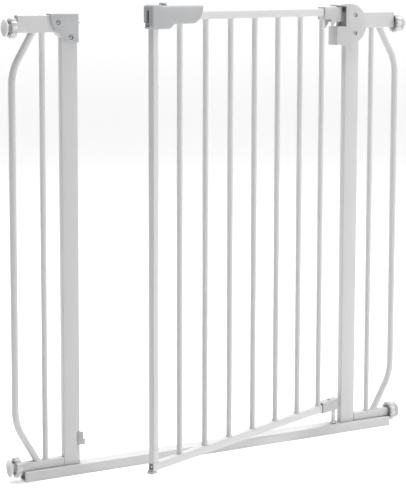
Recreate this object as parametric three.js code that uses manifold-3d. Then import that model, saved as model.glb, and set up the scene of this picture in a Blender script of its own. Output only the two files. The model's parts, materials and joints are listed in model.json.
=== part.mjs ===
// Pressure-mounted safety gate for a doorway. Millimetres, +Z up, X across the doorway, Y through it.
// The origin is on the floor, midway between the posts. The door is modelled closed and level in a group
// of its own, which then lifts and swings it to the open pose.
import * as THREE from 'three';
import { mergeVertices } from 'three/addons/utils/BufferGeometryUtils.js';
import Module from 'manifold-3d';

const wasm = await Module();
wasm.setup();

// ---- driving sizes ----
const gap = 0.3; // between faces that touch
const frameHeight = 760; // floor to the top of the wing top rails
const openingWidth = 516; // between the posts
const postWidth = 29.5;
const postDepth = 13;
const tubeWall = 1.2;
const bottomRailShortfall = 2.5; // shorter than the wings' full width
const bottomRailShift = 2.25; // its middle, towards the hinge post
const bottomRailDepth = 25.5;
const bottomRailHeight = 16.6;
const bottomRailCornerRadius = 2;
const wingLength = 74; // of a wing rail, from its post
const wingTopRailHeight = 27.7;
const wingLowRailHeight = 14;
const innerBarInset = 43.5; // a wing rail's outer end to the straight bar
const barDiameter = 9.4;
const outerTubeDiameter = 11.5;
const outerTubeReach = 8.5; // of its upright stretch, past the rail's outer end
const outerTubeTopInset = 33.3; // rail's outer end to where it meets the top rail
const outerTubeLowInset = 35; // and where it meets the lower rail
const outerTubeKneeDrop = 89; // frame's top to the upper bend
const outerTubeKneeRise = 78.9; // bottom rail to the lower bend
const outerTubeBendRadius = 80;

const topBoltDrop = 20; // below the frame's top
const lowBoltRise = 7.4; // above the bottom rail
const boltDiameter = 7.6;
const boltLength = 64;
const boltClearance = 0.4;
const insertLength = 18;
const insertFlange = 1.2;
const wheelDiameter = 34;
const wheelLength = 9;
const wheelLobes = 12;
const wheelLobeDepth = 1.6;
const wheelDishDepth = 4;
const wheelDishDiameter = 24;
const padDiameter = 29;
const padHubDiameter = 12;
const padLength = 8;
const padRimThickness = 1.8;

const doorSwing = 21.6; // degrees open at rest
const doorLift = 7.5; // how far the open door stands above its closed height
const hingeOffset = 11.3; // right post to the hinge axis
const doorEndGap = 8.9; // the shut door's free stile to the latch post
const doorRise = 21.5; // the shut door above the bottom rail
const doorRailHeight = 13.3;
const doorTubeDepth = 11;
const stileWidth = 12.4;
const doorBars = 7;
const lastBarOffset = 48.4; // the last bar to the hinge axis
const firstBarOffset = 68.2; // stile's outer face to the first bar
const railHingeClearance = 17; // hinge axis to the rails' ends

const hingePinDiameter = 8;
const upperPinDiameter = 6;
const pinSocketDepth = 8;
const pinRoofDepth = 1.5;
const lowPinRise = 13.9; // its top above the underside of the shut door
const bracketClearance = 0.5; // inside, each side of the door's rails
const bracketWall = 1.8;
const upperBracketReach = 50;
const upperBracketDrop = 26; // top plate down to the lower edge near the hinge
const bracketToothReach = 31;
const bracketToothDrop = 36.5;
const bracketToothWidth = 12.4;
const bracketEndDrop = 21;
const lowBracketReach = 42;
const lowBracketHeight = 19;
const bracketHoleDiameter = 6;
const bracketHoleOffset = 15.5; // hinge axis to the hole in the lower bracket's top

const latchWidth = 50;
const latchHeight = 46.5;
const latchRise = 2.2; // above the top rail
const latchOverhang = 1.1; // past the post, into the opening
const latchHalfDepth = 9.5;
const pegDiameter = 4.2;
const pegDrop = 12.2; // frame's top to the strike peg
const pegReach = 6; // beyond the latch housing
const screwHeadDiameter = 7;
const screwHeadHeight = 1.6;
const screwRecess = 2.6;
const screwRoomClearance = 0.6;
const screwSides = 16;
const latchScrewInset = 14;
const latchScrewDrop = 38;

const hingeHouseRadius = 36.5;
const hingeHouseCentreReach = 4; // post's inner face to the housing's centre
const hingeHouseCentreDrop = 20.5;
const hingeHouseRoofSlope = 2.5;
const hingeHouseHalfDepth = 14.2;
const hingeHouseReach = 22.3; // past the post, into the opening
const hingeHouseRoofReach = 19.4;
const hingeHouseRoofRise = 11; // underside of the roof above the frame's top
const hingeHouseLedgeDrop = 24.4; // frame's top to the lower left part, under the bracket
const hingeScrewOffset = 12.5; // from the housing's centre
const hingeScrewSpread = 31.5; // between the two screws
const housingWall = 2.2;

const handleHalfDepth = 10;
const handleLength = 122;
const handleOverhang = 6.7; // past the stile
const handleRise = 9.5; // above the door's top rail
const handleDeepDrop = 36; // top to underside at the free end
const handleShallowDrop = 28.7; // top to underside beyond the step
const handleStepStart = 41; // free end to the start of the step
const handleStepLength = 15;
const handleEndRadius = 26;
const handleCornerRadius = 7;
const handleBumpRise = 2;
const handleBumpLength = 26;
const handleScrewInset = 21;
const handleScrewDrop = 5; // below the door's top rail
const slotWidth = 5.4;
const slotDepth = 5.3;
const slotTopDrop = 6.7;
const channelHeight = 6.6;
const buttonLength = 13;
const buttonWidth = 9;
const buttonOffset = 34.5; // free end to the button's middle
const buttonRise = 4.5;
const buttonTravel = 3;
const sliderLength = 30;
const sliderWidth = 6;
const sliderThickness = 2.4;

const keeperHeight = 21.8;
const keeperRise = 10.7; // above the underside of the shut door
const keeperReach = 8.2;
const keeperUpperReach = 5.4;
const keeperStep = 9.4;
const keeperFlange = 4.4;
const keeperThickness = 1.6;
const keeperPegRise = 3.5; // above the keeper's step
const cornerLipReach = 4.2;
const cornerLipThickness = 3.4;
const cornerWeb = 1.1;
const cornerPlugRecess = 4;
const cornerPlugLength = 14;
const cornerBossDiameter = 5;
const cornerLipOverlap = 8; // of the lip under the rail

const segments = 20;

// ---- colours ----
const coating = { color: 0xf1f1f2, roughness: 0.45, metalness: 0.0 };
const greyPlastic = { color: 0xb4b5b8, roughness: 0.55, metalness: 0.0 };
const lightPlastic = { color: 0xcacaca, roughness: 0.55, metalness: 0.0 };
const bracketSteel = { color: 0xc8c8c9, roughness: 0.5, metalness: 0.2 };
const darkPlastic = { color: 0x6d6e70, roughness: 0.6, metalness: 0.0 };
const zinc = { color: 0xc9cacc, roughness: 0.35, metalness: 0.9 };
const padRubber = { color: 0xe6e6e4, roughness: 0.7, metalness: 0.0 };

// ---- derived places ----
const postInner = openingWidth / 2;
const postOuter = postInner + postWidth;
const hingeX = postInner - hingeOffset;
const wingHalfLength = postOuter + wingLength;
const bottomRailLength = 2 * wingHalfLength - bottomRailShortfall;
const innerBarOffset = wingHalfLength - innerBarInset;
const outerTubeOffset = wingHalfLength + outerTubeReach;
const outerTubeTopOffset = wingHalfLength - outerTubeTopInset;
const outerTubeLowOffset = wingHalfLength - outerTubeLowInset;
const outerTubeKneeTop = frameHeight - outerTubeKneeDrop;
const outerTubeKneeLow = bottomRailHeight + outerTubeKneeRise;
const topBoltHeight = frameHeight - topBoltDrop;
const lowBoltHeight = bottomRailHeight + lowBoltRise;
const bracketHalfDepth = doorTubeDepth / 2 + bracketClearance + bracketWall;
const doorReach = openingWidth - hingeOffset - doorEndGap; // hinge axis to the free stile's outer face
const doorTop = frameHeight; // shut
const doorBottom = bottomRailHeight + doorRise; // shut
const doorBarPitch = (doorReach - firstBarOffset - lastBarOffset) / (doorBars - 1);
const lowPinHeight = doorBottom + lowPinRise;
const pegHeight = frameHeight - pegDrop;
const hingeHouseCentreX = postInner + hingeHouseCentreReach;
const hingeHouseCentreZ = frameHeight - hingeHouseCentreDrop;
const hingeHouseLeft = postInner - hingeHouseReach;
const hingeHouseRoofLeft = postInner - hingeHouseRoofReach;
const hingeHouseRoofUnderside = frameHeight + hingeHouseRoofRise;
const hingeHouseLedge = frameHeight - hingeHouseLedgeDrop;
const keeperBottom = doorBottom + keeperRise;
const bottomRailEnd = bottomRailLength / 2 + Math.abs(bottomRailShift);
const wheelInner = Math.max(wingHalfLength, bottomRailEnd) + insertFlange + 2 * gap;
const wheelOuter = wheelInner + wheelLength;
const padInner = wheelOuter + 0.8;
const freeEnd = -doorReach; // the stile's outer face, from the hinge axis
const handleEnd = freeEnd - handleOverhang;
const handleTop = doorTop + handleRise;

// ---- geometry helpers ----
function place(geometry, x, y, z) {
  geometry.translate(x, y, z);
  return geometry;
}

function box(x0, x1, y0, y1, z0, z1) {
  return place(new THREE.BoxGeometry(x1 - x0, y1 - y0, z1 - z0), (x0 + x1) / 2, (y0 + y1) / 2, (z0 + z1) / 2);
}

// A cylinder between two places on a line parallel to one axis.
function rod(axis, from, to, diameter, a, b, sides = segments) {
  const geometry = new THREE.CylinderGeometry(diameter / 2, diameter / 2, to - from, sides);
  if (axis === 'x') {
    geometry.rotateZ(-Math.PI / 2);
    return place(geometry, (from + to) / 2, a, b);
  }
  if (axis === 'y') {
    return place(geometry, a, (from + to) / 2, b);
  }
  geometry.rotateX(Math.PI / 2);
  return place(geometry, a, b, (from + to) / 2);
}

// An outline in X and Z, made into a plate between two depths.
function plate(shape, y0, y1) {
  const depth = y1 - y0;
  const geometry = new THREE.ExtrudeGeometry(shape, { depth, bevelEnabled: false, curveSegments: 10 });
  geometry.rotateX(Math.PI / 2);
  return place(geometry, 0, y1, 0);
}

// An outline in X and Y, raised between two heights.
function slab(shape, z0, z1) {
  const depth = z1 - z0;
  const geometry = new THREE.ExtrudeGeometry(shape, { depth, bevelEnabled: false, curveSegments: 8 });
  return place(geometry, 0, 0, z0);
}

function outline(points) {
  return new THREE.Shape(points.map(([x, y]) => new THREE.Vector2(x, y)));
}

function roundedRectangle(x0, x1, y0, y1, r) {
  const shape = new THREE.Shape();
  shape.moveTo(x0 + r, y0);
  shape.lineTo(x1 - r, y0);
  shape.absarc(x1 - r, y0 + r, r, -Math.PI / 2, 0);
  shape.lineTo(x1, y1 - r);
  shape.absarc(x1 - r, y1 - r, r, 0, Math.PI / 2);
  shape.lineTo(x0 + r, y1);
  shape.absarc(x0 + r, y1 - r, r, Math.PI / 2, Math.PI);
  shape.lineTo(x0, y0 + r);
  shape.absarc(x0 + r, y0 + r, r, Math.PI, 1.5 * Math.PI);
  return shape;
}

function solid(geometry) {
  const bare = geometry.clone();
  bare.deleteAttribute('normal');
  bare.deleteAttribute('uv');
  const welded = mergeVertices(bare, 1e-4);
  const vertProperties = new Float32Array(welded.attributes.position.array);
  const triVerts = new Uint32Array(welded.index.array);
  return new wasm.Manifold(new wasm.Mesh({ numProp: 3, vertProperties, triVerts }));
}

function geometryOf(manifold) {
  const mesh = manifold.getMesh();
  const geometry = new THREE.BufferGeometry();
  geometry.setAttribute('position', new THREE.BufferAttribute(new Float32Array(mesh.vertProperties), 3));
  geometry.setIndex(new THREE.BufferAttribute(new Uint32Array(mesh.triVerts), 1));
  geometry.computeVertexNormals();
  return geometry;
}

function carve(base, additions, cuts) {
  let result = solid(base);
  for (const addition of additions) {
    result = result.add(solid(addition));
  }
  for (const cut of cuts) {
    result = result.subtract(solid(cut));
  }
  return geometryOf(result);
}

// An upright bar: a round tube, open at both ends.
function roundTube(z0, z1, x) {
  const bore = rod('z', z0 - gap, z1 + gap, barDiameter - 2 * tubeWall, x, 0, 16);
  return carve(rod('z', z0, z1, barDiameter, x, 0, 16), [], [bore]);
}

function mirrorX(geometry) {
  const copy = geometry.clone();
  copy.scale(-1, 1, 1);
  const corners = Array.from(copy.index.array);
  for (let i = 0; i < corners.length; i += 3) {
    [corners[i + 1], corners[i + 2]] = [corners[i + 2], corners[i + 1]];
  }
  copy.setIndex(corners);
  copy.computeVertexNormals();
  return copy;
}

const gate = new THREE.Group();
const door = new THREE.Group();
door.position.set(hingeX, 0, doorLift);
door.rotation.z = THREE.MathUtils.degToRad(doorSwing);
gate.add(door);

function add(name, geometry, look, parent = gate) {
  const mesh = new THREE.Mesh(geometry, new THREE.MeshStandardMaterial(look));
  mesh.name = name;
  parent.add(mesh);
}

// ---- fixed frame ----
function bottomRail() {
  const x0 = bottomRailShift - bottomRailLength / 2;
  const halfDepth = bottomRailDepth / 2;
  const shape = roundedRectangle(x0, x0 + bottomRailLength, -halfDepth, halfDepth, bottomRailCornerRadius);
  const hollow = box(-bottomRailLength, bottomRailLength, -halfDepth + tubeWall, halfDepth - tubeWall,
    tubeWall, bottomRailHeight - tubeWall);
  add('bottom_rail', carve(slab(shape, 0, bottomRailHeight), [], [hollow]), coating);
}

function post(side, sign) {
  const x0 = sign > 0 ? postInner : -postOuter;
  const half = postDepth / 2;
  const outer = box(x0, x0 + postWidth, -half, half, bottomRailHeight + gap, frameHeight);
  const hollow = box(x0 + tubeWall, x0 + postWidth - tubeWall, -half + tubeWall, half - tubeWall,
    0, frameHeight - tubeWall);
  add(`${side}_post`, carve(outer, [], [hollow]), coating);
}

class WingTube extends THREE.Curve {
  constructor(points, radius) {
    super();
    this.path = new THREE.CurvePath();
    let from = points[0];
    for (let i = 1; i < points.length - 1; i += 1) {
      const corner = points[i];
      const back = points[i - 1].clone().sub(corner).normalize();
      const ahead = points[i + 1].clone().sub(corner).normalize();
      const turn = Math.PI - back.angleTo(ahead);
      const reach = radius * Math.tan(turn / 2);
      const start = corner.clone().addScaledVector(back, reach);
      const end = corner.clone().addScaledVector(ahead, reach);
      this.path.add(new THREE.LineCurve3(from, start));
      this.path.add(new THREE.QuadraticBezierCurve3(start, corner, end));
      from = end;
    }
    this.path.add(new THREE.LineCurve3(from, points[points.length - 1]));
  }

  getPoint(t, target = new THREE.Vector3()) {
    return target.copy(this.path.getPoint(t));
  }
}

function wingOuterTube() {
  const topEnd = frameHeight - wingTopRailHeight - gap;
  const lowEnd = bottomRailHeight + gap + wingLowRailHeight + gap;
  const middle = [
    new THREE.Vector3(outerTubeTopOffset, 0, topEnd + outerTubeDiameter),
    new THREE.Vector3(outerTubeOffset, 0, outerTubeKneeTop),
    new THREE.Vector3(outerTubeOffset, 0, outerTubeKneeLow),
    new THREE.Vector3(outerTubeLowOffset, 0, lowEnd - outerTubeDiameter),
  ];
  const section = new THREE.Shape();
  section.absarc(0, 0, outerTubeDiameter / 2, 0, 2 * Math.PI);
  const extrudePath = new WingTube(middle, outerTubeBendRadius);
  const sweep = { steps: 60, bevelEnabled: false, curveSegments: 7, extrudePath };
  const tube = new THREE.ExtrudeGeometry(section, sweep);
  const far = 2 * outerTubeOffset;
  const above = box(0, far, -postDepth, postDepth, topEnd, frameHeight);
  const below = box(0, far, -postDepth, postDepth, -frameHeight, lowEnd);
  return carve(tube, [], [above, below]);
}

function wingRail(z0, z1, boltHeight) {
  const half = postDepth / 2;
  const outer = box(postOuter + gap, wingHalfLength, -half, half, z0, z1);
  const hollow = box(postOuter, wingHalfLength + gap, -half + tubeWall, half - tubeWall,
    z0 + tubeWall, z1 - tubeWall);
  return { shell: carve(outer, [], [hollow]), z0, z1, boltHeight };
}

function railInsert(rail) {
  const half = postDepth / 2 - tubeWall - gap;
  const x0 = wingHalfLength - insertLength;
  const z0 = rail.z0 + tubeWall + gap;
  const z1 = rail.z1 - tubeWall - gap;
  const core = box(x0, wingHalfLength + gap + insertFlange, -half, half, z0, z1);
  const hole = rod('x', x0 - gap, wheelInner, boltDiameter + boltClearance, 0, rail.boltHeight);
  return carve(core, [], [hole]);
}

function wheel(height) {
  const shape = new THREE.Shape();
  const steps = wheelLobes * 6;
  for (let i = 0; i < steps; i += 1) {
    const angle = (2 * Math.PI * i) / steps;
    const radius = wheelDiameter / 2 - (wheelLobeDepth * (1 - Math.cos(wheelLobes * angle))) / 2;
    const point = [radius * Math.cos(angle), radius * Math.sin(angle)];
    if (i === 0) {
      shape.moveTo(...point);
    } else {
      shape.lineTo(...point);
    }
  }
  shape.closePath();
  const disc = new THREE.ExtrudeGeometry(shape, { depth: wheelLength, bevelEnabled: false });
  disc.rotateY(Math.PI / 2);
  place(disc, wheelInner, 0, height);
  const bore = rod('x', wheelInner - gap, wheelOuter + gap, boltDiameter + boltClearance, 0, height);
  const dish = rod('x', wheelOuter - wheelDishDepth, wheelOuter + gap, wheelDishDiameter, 0, height, 30);
  const hub = rod('x', wheelInner + gap, wheelOuter, boltDiameter + 6, 0, height);
  const ring = carve(disc, [], [dish]);
  return carve(ring, [hub], [bore]);
}

function wallPad(height) {
  const hub = padHubDiameter / 2;
  const rim = padDiameter / 2;
  const points = [[0, 0], [hub, 0], [hub, 1.5], [rim, padLength - padRimThickness], [rim, padLength],
    [rim - 2, padLength], [hub, padLength - 3], [0, padLength - 3]];
  const profile = points.map(([r, h]) => new THREE.Vector2(r, h));
  const lathe = new THREE.LatheGeometry(profile, 28);
  lathe.rotateZ(-Math.PI / 2);
  return place(lathe, padInner, 0, height);
}

function bolt(height) {
  return rod('x', padInner - gap - boltLength, padInner - gap, boltDiameter, 0, height);
}

function wings() {
  const topRail = wingRail(frameHeight - wingTopRailHeight, frameHeight, topBoltHeight);
  const lowZ = bottomRailHeight + gap;
  const lowRail = wingRail(lowZ, lowZ + wingLowRailHeight, lowBoltHeight);
  const tube = wingOuterTube();
  const barFoot = lowZ + wingLowRailHeight + gap;
  const bar = roundTube(barFoot, frameHeight - wingTopRailHeight - gap, innerBarOffset);
  const pieces = {
    wing_top_rail: [topRail.shell, coating],
    wing_low_rail: [lowRail.shell, coating],
    wing_bar: [bar, coating],
    wing_outer_tube: [tube, coating],
    top_insert: [railInsert(topRail), greyPlastic],
    low_insert: [railInsert(lowRail), greyPlastic],
    top_wheel: [wheel(topBoltHeight), lightPlastic],
    low_wheel: [wheel(lowBoltHeight), lightPlastic],
    top_bolt: [bolt(topBoltHeight), zinc],
    low_bolt: [bolt(lowBoltHeight), zinc],
    top_pad: [wallPad(topBoltHeight), padRubber],
    low_pad: [wallPad(lowBoltHeight), padRubber],
  };
  for (const [name, [geometry, look]] of Object.entries(pieces)) {
    add(`right_${name}`, geometry, look);
    add(`left_${name}`, mirrorX(geometry), look);
  }
}

// ---- latch housing and keeper on the left post ----
function screwRoom(x, z, face) {
  return rod('y', face - gap, face + screwRecess, screwHeadDiameter + 2 * screwRoomClearance, x, z);
}

function screw(x, z, face) {
  const under = face + screwRecess - gap;
  return rod('y', under - screwHeadHeight, under, screwHeadDiameter, x, z, screwSides);
}

function latchHousing() {
  const right = -postInner + latchOverhang;
  const left = right - latchWidth;
  const top = frameHeight + latchRise;
  const shape = new THREE.Shape();
  shape.moveTo(left, top);
  shape.absellipse(right, top, latchWidth, latchHeight, Math.PI, 1.5 * Math.PI, false);
  shape.lineTo(right, top);
  shape.closePath();
  const body = plate(shape, -latchHalfDepth, latchHalfDepth);
  const frontCut = box(-postOuter * 2, 0, -gap / 2, latchHalfDepth + gap, 0, top + gap);
  const rearCut = box(-postOuter * 2, 0, -latchHalfDepth - gap, gap / 2, 0, top + gap);
  const half = postDepth / 2 + gap;
  const postRoom = box(-postOuter - gap, -postInner + gap, -half, half, 0, frameHeight + gap);
  const railRoom = box(-2 * postOuter, -postInner + gap, -half, half,
    frameHeight - wingTopRailHeight - gap, frameHeight + gap);
  const inset = latchScrewInset;
  const screws = [[left + inset, top - inset], [right - inset, top - latchScrewDrop]];
  const recesses = screws.map(([x, z]) => screwRoom(x, z, -latchHalfDepth));
  const pegRoom = rod('x', -postInner, right + gap, pegDiameter + 2 * gap, 0, pegHeight);
  const rooms = [postRoom, railRoom, pegRoom];
  add('latch_housing_front', carve(body, [], [frontCut, ...rooms, ...recesses]), greyPlastic);
  add('latch_housing_rear', carve(body, [], [rearCut, ...rooms]), greyPlastic);
  screws.forEach(([x, z], i) => {
    add(`latch_screw_${i + 1}`, screw(x, z, -latchHalfDepth), zinc);
  });
  add('strike_peg', rod('x', -postInner + gap, right + pegReach, pegDiameter, 0, pegHeight), zinc);
}

function keeper() {
  const face = -postDepth / 2 - gap;
  const top = keeperBottom + keeperHeight;
  const step = keeperBottom + keeperStep;
  const inner = -postInner + gap;
  const plateShape = outline([
    [-postInner - keeperFlange, keeperBottom], [-postInner + keeperReach, keeperBottom],
    [-postInner + keeperReach, step], [-postInner + keeperUpperReach, step],
    [-postInner + keeperUpperReach, top], [-postInner - keeperFlange, top]]);
  const front = plate(plateShape, face - keeperThickness, face);
  const web = box(inner, inner + keeperThickness, face - keeperThickness / 2, -face, keeperBottom, top);
  add('low_keeper', carve(front, [web], []), greyPlastic);
  const pegFrom = inner + keeperThickness + gap;
  const peg = rod('x', pegFrom, pegFrom + keeperUpperReach, pegDiameter, 0, step + keeperPegRise);
  add('low_keeper_peg', peg, zinc);
}

// ---- hinge housing and pins on the right post ----
function hingeHousing() {
  const cx = hingeHouseCentreX;
  const cz = hingeHouseCentreZ;
  const r = hingeHouseRadius;
  const depth = hingeHouseHalfDepth;
  const shape = new THREE.Shape();
  shape.moveTo(hingeHouseLeft, cz - r);
  shape.lineTo(cx, cz - r);
  shape.absarc(cx, cz, r, -Math.PI / 2, Math.PI / 2);
  shape.lineTo(hingeHouseRoofLeft, cz + r - hingeHouseRoofSlope);
  shape.lineTo(hingeHouseRoofLeft, hingeHouseRoofUnderside - 1);
  shape.lineTo(hingeHouseLeft, hingeHouseRoofUnderside - 1);
  shape.closePath();
  const body = plate(shape, -depth, depth);
  const swing = bracketHalfDepth + 2 * gap;
  const doorRoom = box(hingeHouseLeft - gap, hingeX + swing, -depth - gap, depth + gap,
    hingeHouseLedge, hingeHouseRoofUnderside);
  const half = postDepth / 2 + gap;
  const postRoom = box(postInner - gap, postOuter + gap, -half, half, 0, frameHeight + gap);
  const railRoom = box(postInner - gap, 2 * postOuter, -half, half,
    frameHeight - wingTopRailHeight - gap, frameHeight + gap);
  const inside = box(hingeX + swing - gap, postInner, -depth + housingWall, depth - housingWall,
    hingeHouseLedge, hingeHouseRoofUnderside);
  const pinFrom = hingeHouseLedge - pinSocketDepth;
  const pinTo = hingeHouseRoofUnderside + pinRoofDepth;
  const pinRoom = rod('z', pinFrom - gap, pinTo + gap, upperPinDiameter + 2 * gap, hingeX, 0);
  const screwX = cx + hingeScrewOffset;
  const screws = [[screwX, cz + hingeScrewSpread / 2], [screwX, cz - hingeScrewSpread / 2]];
  const recesses = screws.map(([x, z]) => screwRoom(x, z, -depth));
  const far = 3 * postOuter;
  const frontCut = box(0, far, -gap / 2, depth + gap, 0, far);
  const rearCut = box(0, far, -depth - gap, gap / 2, 0, far);
  const rooms = [doorRoom, postRoom, railRoom, inside, pinRoom];
  add('hinge_housing_front', carve(body, [], [frontCut, ...rooms, ...recesses]), lightPlastic);
  add('hinge_housing_rear', carve(body, [], [rearCut, ...rooms]), lightPlastic);
  screws.forEach(([x, z], i) => {
    add(`hinge_screw_${i + 1}`, screw(x, z, -depth), zinc);
  });
  add('upper_hinge_pin', rod('z', pinFrom, pinTo, upperPinDiameter, hingeX, 0), zinc);
  add('lower_hinge_pin', rod('z', bottomRailHeight + gap, lowPinHeight, hingePinDiameter, hingeX, 0), zinc);
}

// ---- door, from the hinge axis towards -X ----
function doorBarsAndRails() {
  const half = doorTubeDepth / 2;
  const core = half - tubeWall;
  const railEnd = -railHingeClearance;
  const railFloors = { door_top_rail: doorTop - doorRailHeight, door_bottom_rail: doorBottom };
  for (const [name, floor] of Object.entries(railFloors)) {
    const rail = box(freeEnd, railEnd, -half, half, floor, floor + doorRailHeight);
    const hollow = box(freeEnd - gap, railEnd + gap, -core, core,
      floor + tubeWall, floor + doorRailHeight - tubeWall);
    add(name, carve(rail, [], [hollow]), coating, door);
  }
  const z0 = doorBottom + doorRailHeight + gap;
  const z1 = doorTop - doorRailHeight - gap;
  const stile = box(freeEnd, freeEnd + stileWidth, -half, half, z0, z1);
  const stileHollow = box(freeEnd + tubeWall, freeEnd + stileWidth - tubeWall, -core, core,
    z0 - gap, z1 + gap);
  add('door_stile', carve(stile, [], [stileHollow]), coating, door);
  for (let i = 0; i < doorBars; i += 1) {
    const x = freeEnd + firstBarOffset + i * doorBarPitch;
    add(`door_bar_${i + 1}`, roundTube(z0, z1, x), coating, door);
  }
}

// Straight sides that end in a half round about the hinge axis.
function bracketOutline(reach, halfDepth) {
  const shape = new THREE.Shape();
  shape.moveTo(-reach, -halfDepth);
  shape.lineTo(0, -halfDepth);
  shape.absarc(0, 0, halfDepth, -Math.PI / 2, Math.PI / 2);
  shape.lineTo(-reach, halfDepth);
  shape.closePath();
  return shape;
}

function upperBracket() {
  const top = doorTop + gap + bracketWall;
  const low = top - bracketToothDrop;
  const deep = bracketHalfDepth + gap;
  const toothSlope = 2;
  const block = slab(bracketOutline(upperBracketReach, bracketHalfDepth), low, top);
  const inside = bracketOutline(upperBracketReach + gap, bracketHalfDepth - bracketWall);
  const hollow = slab(inside, low - gap, doorTop + gap);
  const side = outline([
    [-upperBracketReach - gap, low - gap], [-bracketToothReach + toothSlope, low - gap],
    [-bracketToothReach, top - bracketEndDrop], [-upperBracketReach - gap, top - bracketEndDrop]]);
  const nearHinge = outline([
    [-bracketToothReach + toothSlope, low - gap], [deep, low - gap],
    [deep, top - upperBracketDrop], [-bracketToothReach + bracketToothWidth, top - upperBracketDrop]]);
  const pinHole = rod('z', doorTop - gap, top + gap, upperPinDiameter + 2 * gap, 0, 0);
  const cuts = [hollow, plate(side, -deep, deep), plate(nearHinge, -deep, deep), pinHole];
  add('upper_hinge_bracket', carve(block, [], cuts), bracketSteel, door);
}

function lowerBracket() {
  const low = doorBottom - gap - bracketWall;
  const top = low + lowBracketHeight;
  const block = slab(bracketOutline(lowBracketReach, bracketHalfDepth), low, top);
  const inside = bracketOutline(lowBracketReach + gap, bracketHalfDepth - bracketWall);
  const hollow = slab(inside, low + bracketWall, top - bracketWall);
  const pinHole = rod('z', low - gap, low + bracketWall + gap, hingePinDiameter + 2 * gap, 0, 0);
  const topHole = rod('z', top - bracketWall - gap, top + gap, bracketHoleDiameter, -bracketHoleOffset, 0);
  add('lower_hinge_bracket', carve(block, [], [hollow, pinHole, topHole]), bracketSteel, door);
}

// The handle's outline: deep over the free end, a step up, and a quarter round at the inner end.
// A low bump stands on top at the free end.
function handleOutline() {
  const x0 = handleEnd;
  const x1 = handleEnd + handleLength;
  const corner = handleCornerRadius;
  const deep = handleTop - handleDeepDrop;
  const shallow = handleTop - handleShallowDrop;
  const stepX = x0 + handleStepStart;
  const stepEnd = stepX + handleStepLength;
  const ease = handleStepLength * 0.6;
  const bumpTop = handleTop + handleBumpRise;
  const bumpEnd = x0 + handleBumpLength;
  const shape = new THREE.Shape();
  shape.moveTo(x0 + corner, deep);
  shape.lineTo(stepX, deep);
  shape.bezierCurveTo(stepX + ease, deep, stepEnd - ease, shallow, stepEnd, shallow);
  shape.lineTo(x1 - handleEndRadius, shallow);
  shape.absarc(x1 - handleEndRadius, shallow + handleEndRadius, handleEndRadius, -Math.PI / 2, 0);
  shape.lineTo(x1, handleTop);
  shape.lineTo(bumpEnd, handleTop);
  shape.quadraticCurveTo(bumpEnd - corner / 2, bumpTop, bumpEnd - corner, bumpTop);
  shape.lineTo(x0 + corner, bumpTop);
  shape.quadraticCurveTo(x0, bumpTop, x0, handleTop - corner / 2);
  shape.lineTo(x0, deep + corner);
  shape.quadraticCurveTo(x0, deep, x0 + corner, deep);
  return shape;
}

function handle() {
  const body = plate(handleOutline(), -handleHalfDepth, handleHalfDepth);
  const half = doorTubeDepth / 2 + gap;
  const outside = handleEnd - gap;
  const far = handleEnd + 2 * handleLength;
  const railRoom = box(freeEnd - gap, far, -half, half, doorTop - doorRailHeight - gap, doorTop + gap);
  const stileRoom = box(freeEnd - gap, freeEnd + stileWidth + gap, -half, half, 0, doorTop);
  const barRoom = rod('z', 0, doorTop, barDiameter + 2 * gap, freeEnd + firstBarOffset, 0);
  const channelLow = pegHeight - doorLift - channelHeight / 2;
  const slotEnd = handleEnd + slotDepth;
  const slot = box(outside, slotEnd, -slotWidth / 2, slotWidth / 2, channelLow, handleTop - slotTopDrop);
  const channel = box(outside, slotEnd, 0, handleHalfDepth + gap,
    channelLow, channelLow + channelHeight);
  const buttonX = handleEnd + buttonOffset;
  const reach = buttonLength / 2;
  const halfWidth = buttonWidth / 2;
  const wellOutline = roundedRectangle(buttonX - reach - gap, buttonX + reach + gap,
    -halfWidth - gap, halfWidth + gap, halfWidth);
  const well = slab(wellOutline, doorTop, handleTop + 2 * gap + buttonRise);
  const sliderFrom = buttonX - sliderLength / 2;
  const sliderTop = doorTop + 2 * gap + sliderThickness;
  const sliderRoom = box(sliderFrom - gap, buttonX + sliderLength / 2 + gap,
    -sliderWidth / 2 - gap, sliderWidth / 2 + gap, doorTop, sliderTop + gap);
  const frontCut = box(outside, far, -gap / 2, handleHalfDepth + gap, 0, 2 * handleTop);
  const rearCut = box(outside, far, -handleHalfDepth - gap, gap / 2, 0, 2 * handleTop);
  const rooms = [railRoom, stileRoom, barRoom, slot, channel, well, sliderRoom];
  const screwXs = [handleEnd + handleScrewInset, handleEnd + handleLength - handleScrewInset];
  const screwZ = doorTop - doorRailHeight - handleScrewDrop;
  const screwRooms = screwXs.map((x) => rod('y', handleHalfDepth - screwRecess, handleHalfDepth + gap,
    screwHeadDiameter + 2 * screwRoomClearance, x, screwZ));
  add('handle_front', carve(body, [], [frontCut, ...rooms]), greyPlastic, door);
  add('handle_rear', carve(body, [], [rearCut, ...rooms, ...screwRooms]), greyPlastic, door);
  const floor = handleHalfDepth - screwRecess + gap;
  screwXs.forEach((x, i) => {
    const head = rod('y', floor, floor + screwHeadHeight, screwHeadDiameter, x, screwZ, screwSides);
    add(`handle_screw_${i + 1}`, head, zinc, door);
  });
  const buttonOutline = roundedRectangle(buttonX - reach, buttonX + reach, -halfWidth, halfWidth,
    halfWidth - gap);
  add('lock_button', slab(buttonOutline, sliderTop + gap + buttonTravel, handleTop + buttonRise),
    darkPlastic, door);
  const slider = box(sliderFrom, sliderFrom + sliderLength - buttonTravel, -sliderWidth / 2, sliderWidth / 2,
    doorTop + 2 * gap, sliderTop);
  add('latch_slider', slider, darkPlastic, door);
}

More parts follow.
